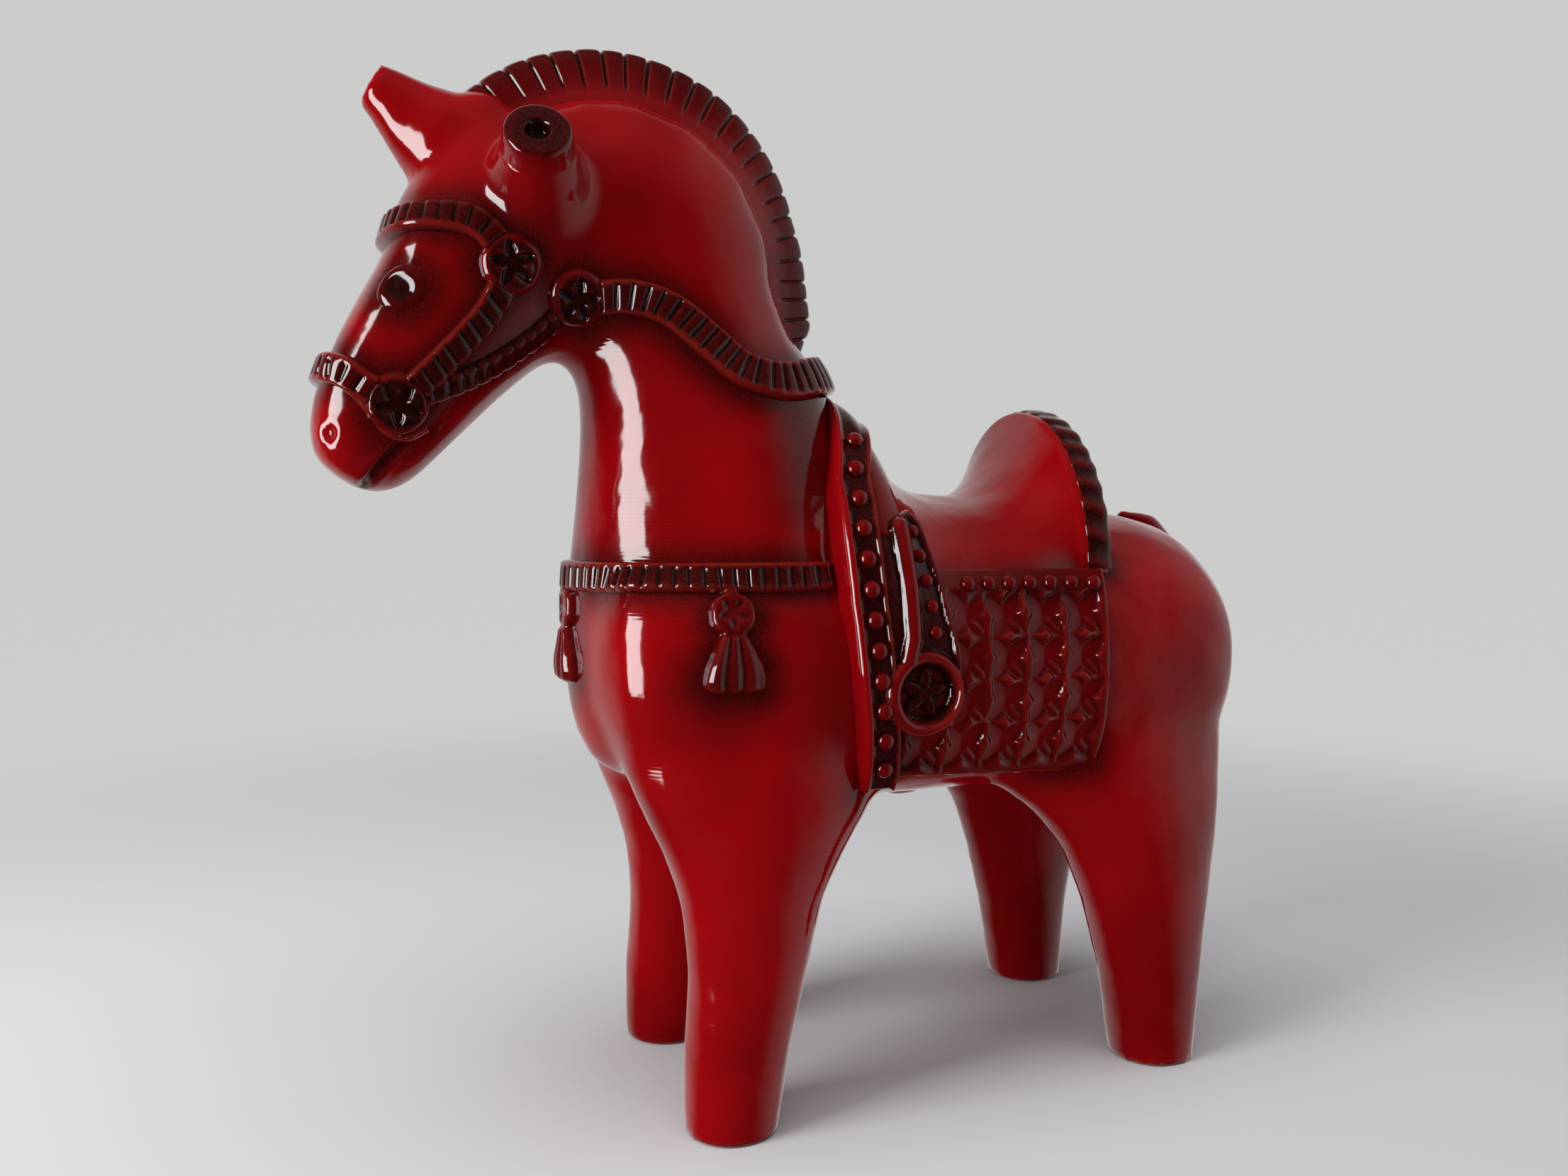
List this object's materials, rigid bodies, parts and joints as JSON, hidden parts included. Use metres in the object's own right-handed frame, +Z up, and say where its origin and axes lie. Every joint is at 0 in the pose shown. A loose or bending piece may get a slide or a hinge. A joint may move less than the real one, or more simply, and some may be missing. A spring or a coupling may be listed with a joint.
{
  "type": "ceramic horse figurine",
  "caption": "Hollow glazed ceramic horse on stout tapered legs, with arched neck, cut mane, bridle, rein, breast strap with tassels, and high-backed saddle with stamped cloth.",
  "frame": {"origin": "middle of the figure's box, on the ground under it", "axes": "+Z up, nose towards -X, the horse's left side towards -Y"},
  "size_m": [0.323, 0.1216, 0.337],
  "materials": {
    "red_glaze": "deep red transparent gloss glaze over brushed pale clay",
    "dark_glaze": "the same gloss glaze over a sprayed brown-black stain, rubbed red on the edges",
    "eye_glaze": "gloss glaze over black stain"
  },
  "bodies": {
    "root": {"torso": "red_glaze", "neck": "red_glaze", "head": "red_glaze", "forelock": "red_glaze", "left_ear": "red_glaze", "right_ear": "red_glaze", "tail": "red_glaze", "front_left_leg": "red_glaze", "front_right_leg": "red_glaze", "hind_left_leg": "red_glaze", "hind_right_leg": "red_glaze", "saddle_seat": "red_glaze", "saddle_cantle": "red_glaze", "mane": "dark_glaze", "browband": "dark_glaze", "noseband": "dark_glaze", "left_cheek_strap": "dark_glaze", "right_cheek_strap": "dark_glaze", "left_jaw_strap": "dark_glaze", "right_jaw_strap": "dark_glaze", "left_brow_rosette": "dark_glaze", "right_brow_rosette": "dark_glaze", "left_jaw_rosette": "dark_glaze", "right_jaw_rosette": "dark_glaze", "left_bit_rosette": "dark_glaze", "right_bit_rosette": "dark_glaze", "left_rein": "dark_glaze", "right_rein": "dark_glaze", "breast_strap": "dark_glaze", "centre_tassel": "dark_glaze", "left_tassel": "dark_glaze", "right_tassel": "dark_glaze", "cantle_rim": "dark_glaze", "left_saddle_border": "dark_glaze", "right_saddle_border": "dark_glaze", "border_beads": "dark_glaze", "left_saddle_cloth": "dark_glaze", "right_saddle_cloth": "dark_glaze", "cloth_beads": "dark_glaze", "left_stirrup_strap": "dark_glaze", "right_stirrup_strap": "dark_glaze", "stirrup_beads": "dark_glaze", "left_stirrup_ring": "dark_glaze", "right_stirrup_ring": "dark_glaze", "left_eye": "eye_glaze", "right_eye": "eye_glaze"}
  },
  "joints": []
}
